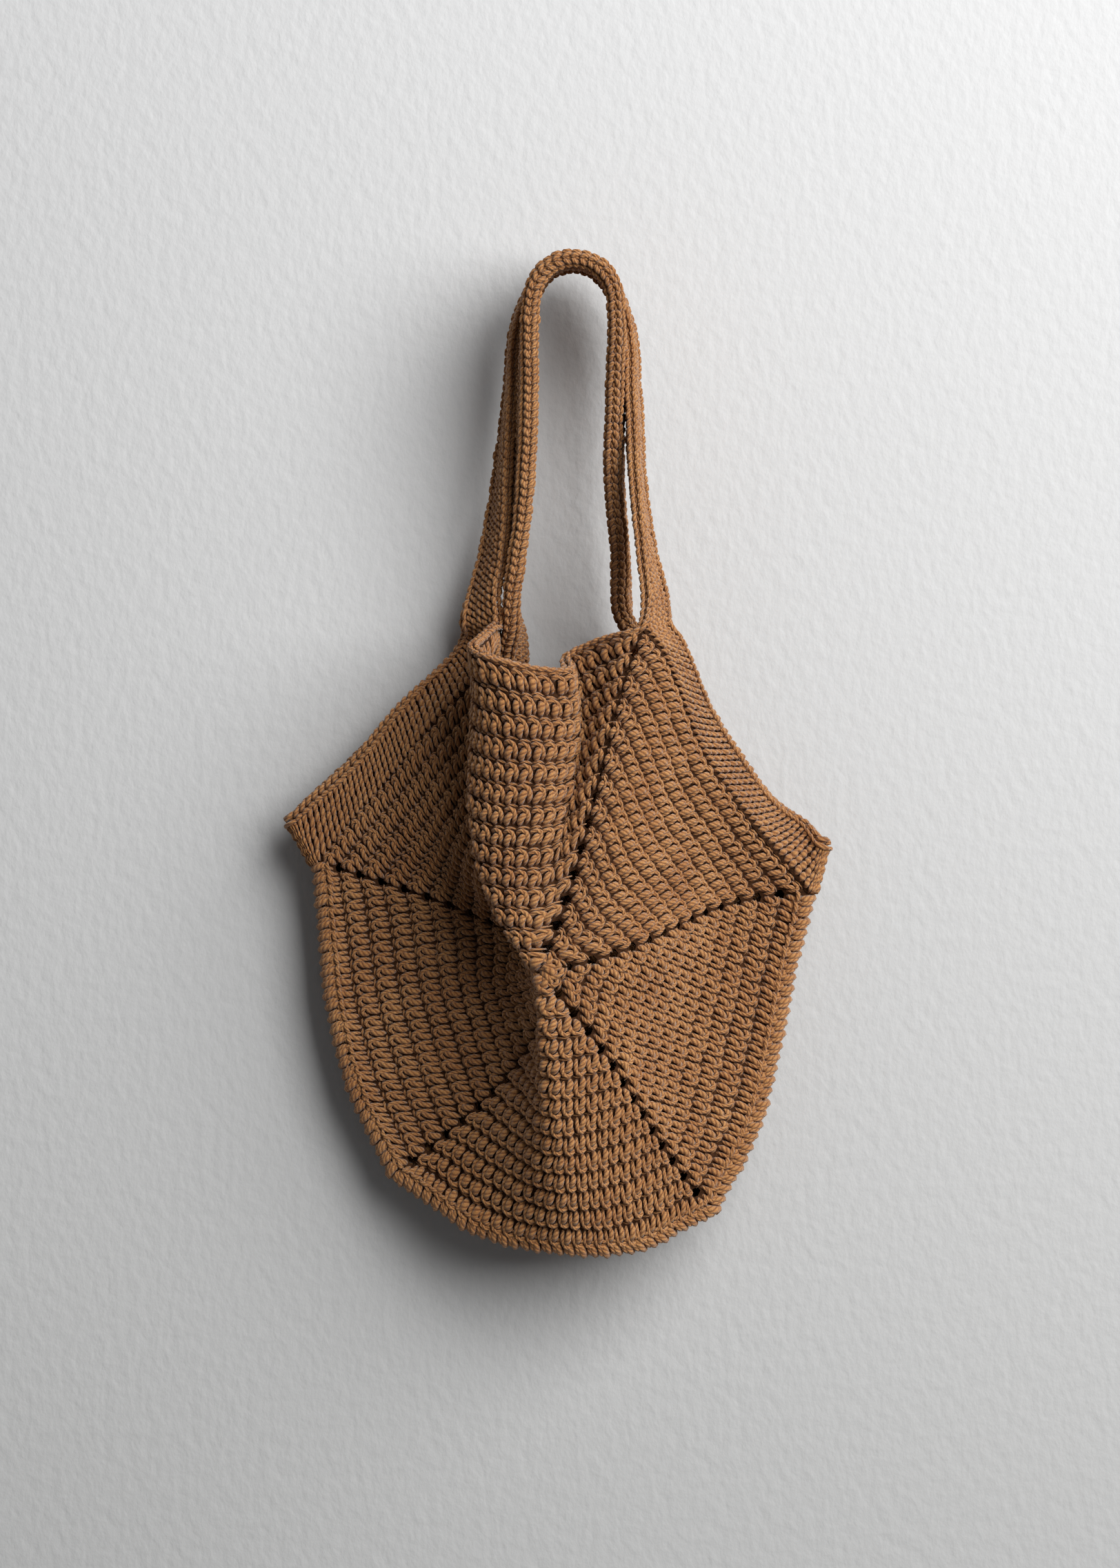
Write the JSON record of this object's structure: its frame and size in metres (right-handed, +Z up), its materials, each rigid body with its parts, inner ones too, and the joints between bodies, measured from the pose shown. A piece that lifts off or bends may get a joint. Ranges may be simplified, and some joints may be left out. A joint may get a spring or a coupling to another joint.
{
  "type": "crochet tote bag",
  "caption": "Crocheted cotton tote with hexagon panels, open eyelets along their corners, ribbed borders and loop handles, hanging empty in soft folds.",
  "frame": {"origin": "the point under both handles where they rest on what holds the bag, half-way between the two handles", "axes": "+Z up, +X to the bag's right as seen from the front, -Y towards the front, where the deep fold of the front panel stands"},
  "size_m": [0.2952, 0.1196, 0.5398],
  "materials": {
    "cotton_panel": "caramel brown plied cotton yarn, worked in rounds of double crochet, matt",
    "cotton_band": "the same yarn in firm rows of single crochet, matt",
    "cotton_edging": "the same yarn as a rope-like chain edge, matt"
  },
  "bodies": {
    "root": {"front_panel": "cotton_panel", "back_panel": "cotton_panel", "left_side_border": "cotton_band", "right_side_border": "cotton_band", "front_handle": "cotton_band", "back_handle": "cotton_band", "joining_seam": "cotton_edging", "front_mouth_rim": "cotton_edging", "back_mouth_rim": "cotton_edging", "outer_edging": "cotton_edging"}
  },
  "joints": []
}
